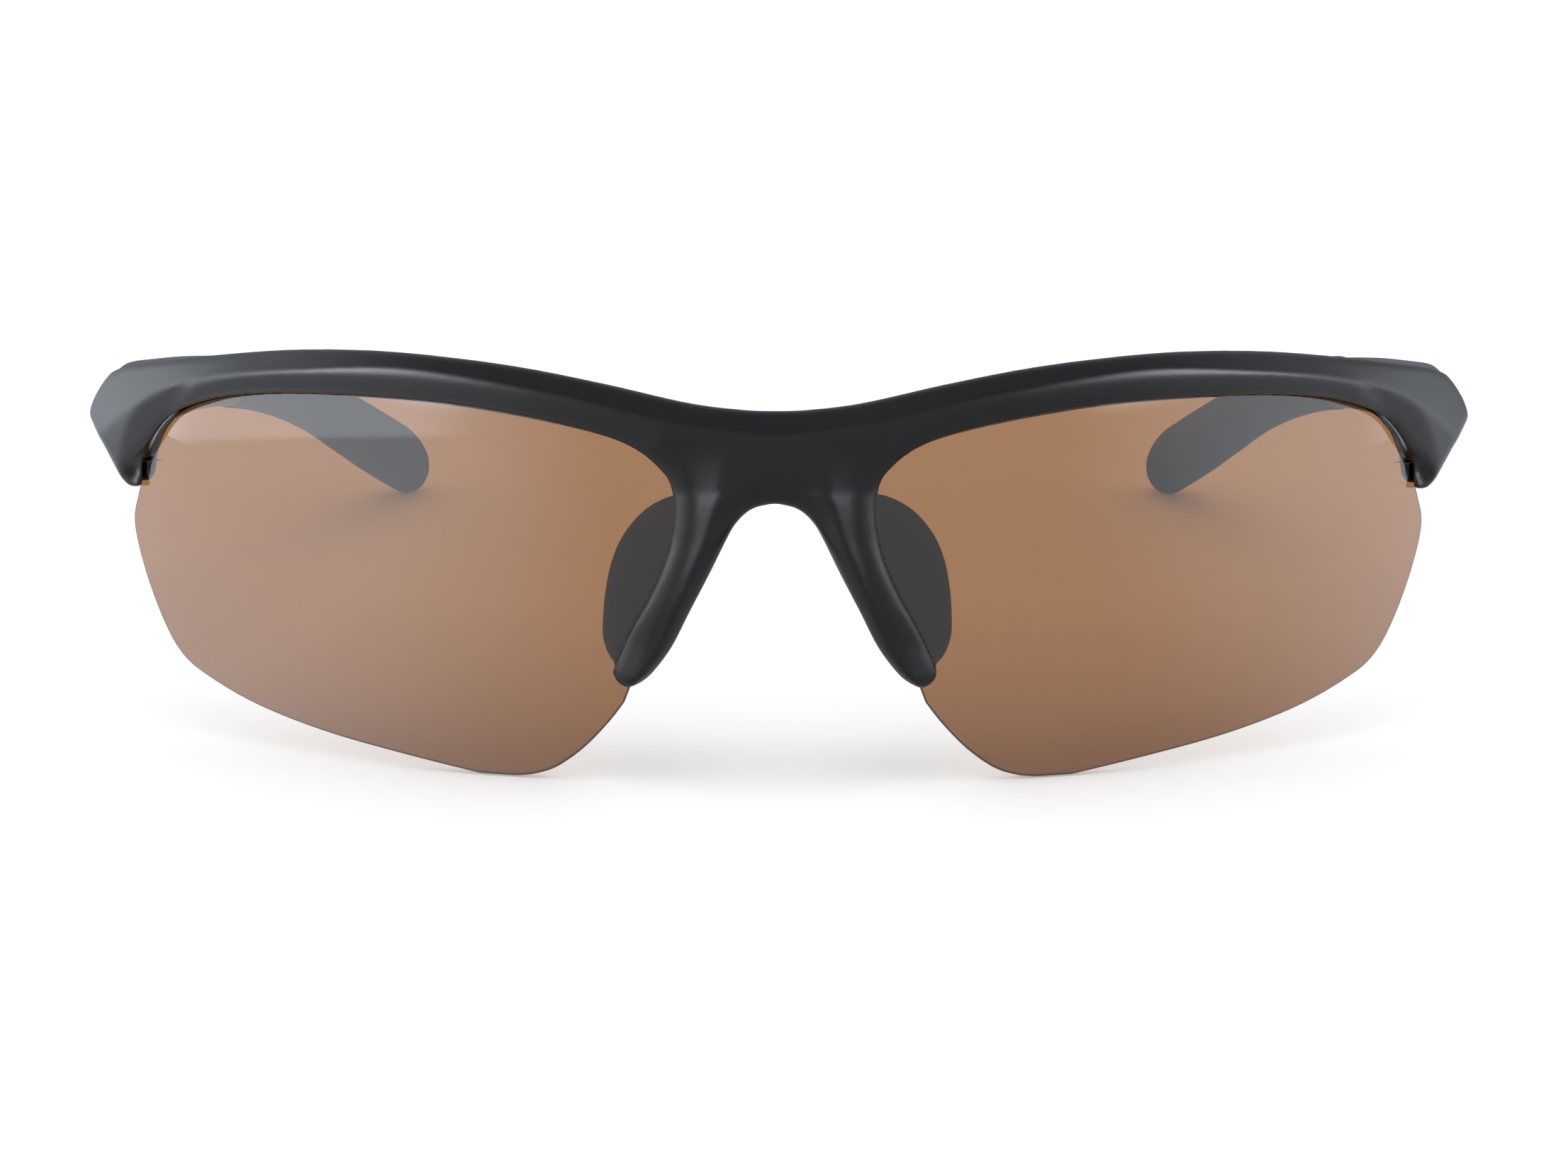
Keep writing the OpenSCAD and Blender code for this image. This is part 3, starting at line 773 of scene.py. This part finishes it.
def floor_material():
    """Pale matte table, which mirrored surfaces see as they see the walls behind it."""
    material, shader, output = new_material("pale_floor")
    tree = material.node_tree
    link = tree.links.new
    place = add_node(tree, "ShaderNodeTexCoord")
    clouds = add_node(tree, "ShaderNodeTexNoise", Scale=4.0, Detail=3.0)
    tint = add_node(tree, "ShaderNodeMix", data_type="RGBA")
    tint.inputs[6].default_value = (0.86, 0.86, 0.86, 1)
    tint.inputs[7].default_value = (0.84, 0.84, 0.84, 1)
    apart = add_node(tree, "ShaderNodeSeparateXYZ")
    glow = add_node(tree, "ShaderNodeEmission", Color=MIRROR_COLOUR)
    mix = add_node(tree, "ShaderNodeMixShader")
    link(place.outputs["Object"], clouds.inputs["Vector"])
    link(clouds.outputs["Fac"], tint.inputs[0])
    link(tint.outputs[2], shader.inputs["Base Color"])
    shader.inputs["Roughness"].default_value = 0.7
    shader.inputs["Emission Color"].default_value = (1, 1, 1, 1)
    shader.inputs["Emission Strength"].default_value = FLOOR_GLOW
    toward = add_node(tree, "ShaderNodeVectorMath", operation="NORMALIZE")
    link(place.outputs["Object"], toward.inputs[0])
    link(toward.outputs["Vector"], apart.inputs["Vector"])
    link(wall_light(tree, apart.outputs["X"]), glow.inputs["Strength"])
    link(mirrored_rays(tree), mix.inputs["Fac"])
    link(shader.outputs["BSDF"], mix.inputs[1])
    link(glow.outputs["Emission"], mix.inputs[2])
    link(mix.outputs["Shader"], output.inputs["Surface"])
    return material


def make_floor():
    mesh = bpy.data.meshes.new("studio_floor")
    r = FLOOR_HALF
    mesh.from_pydata([(-r, -r, 0), (r, -r, 0), (r, r, 0), (-r, r, 0)], [], [(0, 1, 2, 3)])
    mesh.materials.append(floor_material())
    floor = bpy.data.objects.new("studio_floor", mesh)
    bpy.context.scene.collection.objects.link(floor)


def make_world():
    """White to look at; mirroring surfaces see bright sides, a soft box and a dim ceiling."""
    world = bpy.data.worlds.new("studio")
    bpy.context.scene.world = world
    world.use_nodes = True
    tree = world.node_tree
    link = tree.links.new
    background = tree.nodes["Background"]
    place = add_node(tree, "ShaderNodeTexCoord")
    apart = add_node(tree, "ShaderNodeSeparateXYZ")
    path = add_node(tree, "ShaderNodeLightPath")
    link(place.outputs["Generated"], apart.inputs["Vector"])
    aside = combined(tree, "ABSOLUTE", apart.outputs["X"])
    # The walls, with more light behind the object and to its sides
    behind = ramp(tree, apart.outputs["Y"], 0.0, 0.4, 0, BEHIND_LIGHT)
    behind = combined(tree, "MULTIPLY", behind, ramp(tree, aside, 0.7, 0.95, 0, 1))
    walls = combined(tree, "ADD", wall_light(tree, apart.outputs["X"]), behind)
    # The boxes beside the object. The low one is on the image's left only, and its lower edge
    # rises towards the front. The high ones are in front of the object only.
    wide = ramp(tree, aside, 0.55, 0.75, 0, 1)
    slant = combined(tree, "MULTIPLY_ADD", apart.outputs["Y"], BOX_SLANT, apart.outputs["Z"])
    low_edge = ramp(tree, slant, 0.005, 0.025, 0, BOX_LIGHT - SIDE_LIGHT)
    on_left = ramp(tree, apart.outputs["X"], -0.1, 0.1, 1, 0)
    low_edge = combined(tree, "MULTIPLY", low_edge, on_left)
    high = ramp(tree, apart.outputs["Z"], 0.22, 0.38, 0, HIGH_BOX_LIGHT - BOX_LIGHT)
    in_front = ramp(tree, apart.outputs["Y"], -0.35, 0.0, 1, 0.05)
    high = combined(tree, "MULTIPLY", high, in_front)
    box = combined(tree, "MULTIPLY", wide, combined(tree, "ADD", low_edge, high))
    ceiling = ramp(tree, apart.outputs["Z"], 0.6, 0.85, 1, CEILING_LIGHT)
    mirrored = combined(tree, "MULTIPLY", combined(tree, "ADD", walls, box), ceiling)
    glossy = add_node(tree, "ShaderNodeMix", data_type="FLOAT")
    glossy.inputs[2].default_value = ROOM_LIGHT
    link(mirrored, glossy.inputs[3])
    link(mirrored_rays(tree), glossy.inputs[0])
    seen = add_node(tree, "ShaderNodeMix", data_type="FLOAT")
    seen.inputs[3].default_value = SEEN_LIGHT
    link(glossy.outputs[0], seen.inputs[2])
    link(path.outputs["Is Camera Ray"], seen.inputs[0])
    link(seen.outputs[0], background.inputs["Strength"])
    tint = add_node(tree, "ShaderNodeMix", data_type="RGBA")
    tint.inputs[6].default_value = ROOM_COLOUR
    tint.inputs[7].default_value = MIRROR_COLOUR
    link(mirrored_rays(tree), tint.inputs[0])
    link(tint.outputs[2], background.inputs["Color"])


# Camera: degrees round and up from straight in front, metres from its aim, and its lens
CAMERA_TURN = 0.5
CAMERA_RISE = 12
CAMERA_AWAY = 0.6
CAMERA_AIM = [0.8, 8, 18]
SENSOR_WIDTH = 36
FOCAL_LENGTH = 143


def add_light(name, at, target, size, power):
    """Square soft box that looks from one point to another."""
    light = bpy.data.lights.new(name, "AREA")
    light.size = size
    light.energy = power
    lamp = bpy.data.objects.new(name, light)
    lamp.location = at
    toward = np.array(target) - np.array(at)
    yaw = math.atan2(toward[1], toward[0])
    pitch = math.atan2(math.hypot(toward[0], toward[1]), -toward[2])
    lamp.rotation_euler = (pitch, 0, yaw - math.pi / 2)
    lamp.visible_camera = False
    lamp.visible_glossy = False
    bpy.context.scene.collection.objects.link(lamp)


def make_camera():
    """Long lens from the front, a little above the object."""
    turn, rise, away = math.radians(CAMERA_TURN), math.radians(CAMERA_RISE), CAMERA_AWAY
    aim = row([CAMERA_AIM])[0]
    camera = bpy.data.objects.new("camera", bpy.data.cameras.new("camera"))
    back = np.array([math.sin(turn) * math.cos(rise), -math.cos(turn) * math.cos(rise),
                     math.sin(rise)])
    camera.location = aim + back * away
    camera.rotation_euler = (math.pi / 2 - rise, 0, turn)
    camera.data.sensor_width = SENSOR_WIDTH
    camera.data.lens = FOCAL_LENGTH
    camera.data.clip_start = 0.01
    bpy.context.scene.collection.objects.link(camera)
    bpy.context.scene.camera = camera


# --- Whole --------------------------------------------------------------------------------

make_camera()
make_floor()
make_world()
add_light("soft_top", (0, -0.2, 0.9), (0, 0, 0), 0.6, 1.3)

nylon = grained("charcoal_nylon", (0.0052, 0.005, 0.0056), (0.0068, 0.0066, 0.0072),
                0.33, 5200.0, 0.25, 0.5)
# Rougher copy of the nylon that is darker and mirrors less: painted shade for the walls of the
# recess round the lenses
groove_nylon_painted_shade = grained("groove_nylon_painted_shade", (0.004, 0.004, 0.004), (0.006, 0.006, 0.006),
                       0.75, 5200.0, 0.25, 0.2)
pad_rubber = grained("pad_rubber", (0.016, 0.023, 0.036), (0.021, 0.029, 0.045),
                     0.62, 4200.0, 0.3, 0.3)
tip_rubber = grained("tip_rubber", (0.018, 0.023, 0.032), (0.023, 0.029, 0.04),
                     0.62, 4200.0, 0.3, 0.3)
coated_glass = lens_glass("brown_lens", 1.0)
plain_glass = lens_glass("brown_lens_back", 0.0)
glass_rim = grained("lens_rim", (0.07, 0.052, 0.036), (0.09, 0.068, 0.048), 0.3, 2500.0, 0.1,
                    0.5)
metal = steel()

make_front(nylon, groove_nylon_painted_shade)
for name, side in SIDES.items():
    make_lens(name, side, coated_glass, plain_glass, glass_rim)
    make_pad(name, side, pad_rubber)
    make_arm(name, side, "arm_" + name, nylon)
    make_tip(name, side, "arm_" + name, tip_rubber)

for name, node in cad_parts.items():
    if not node.hide_render:
        node.data.materials.clear()
        node.data.materials.append(metal)

bpy.context.scene.view_settings.view_transform = "Standard"
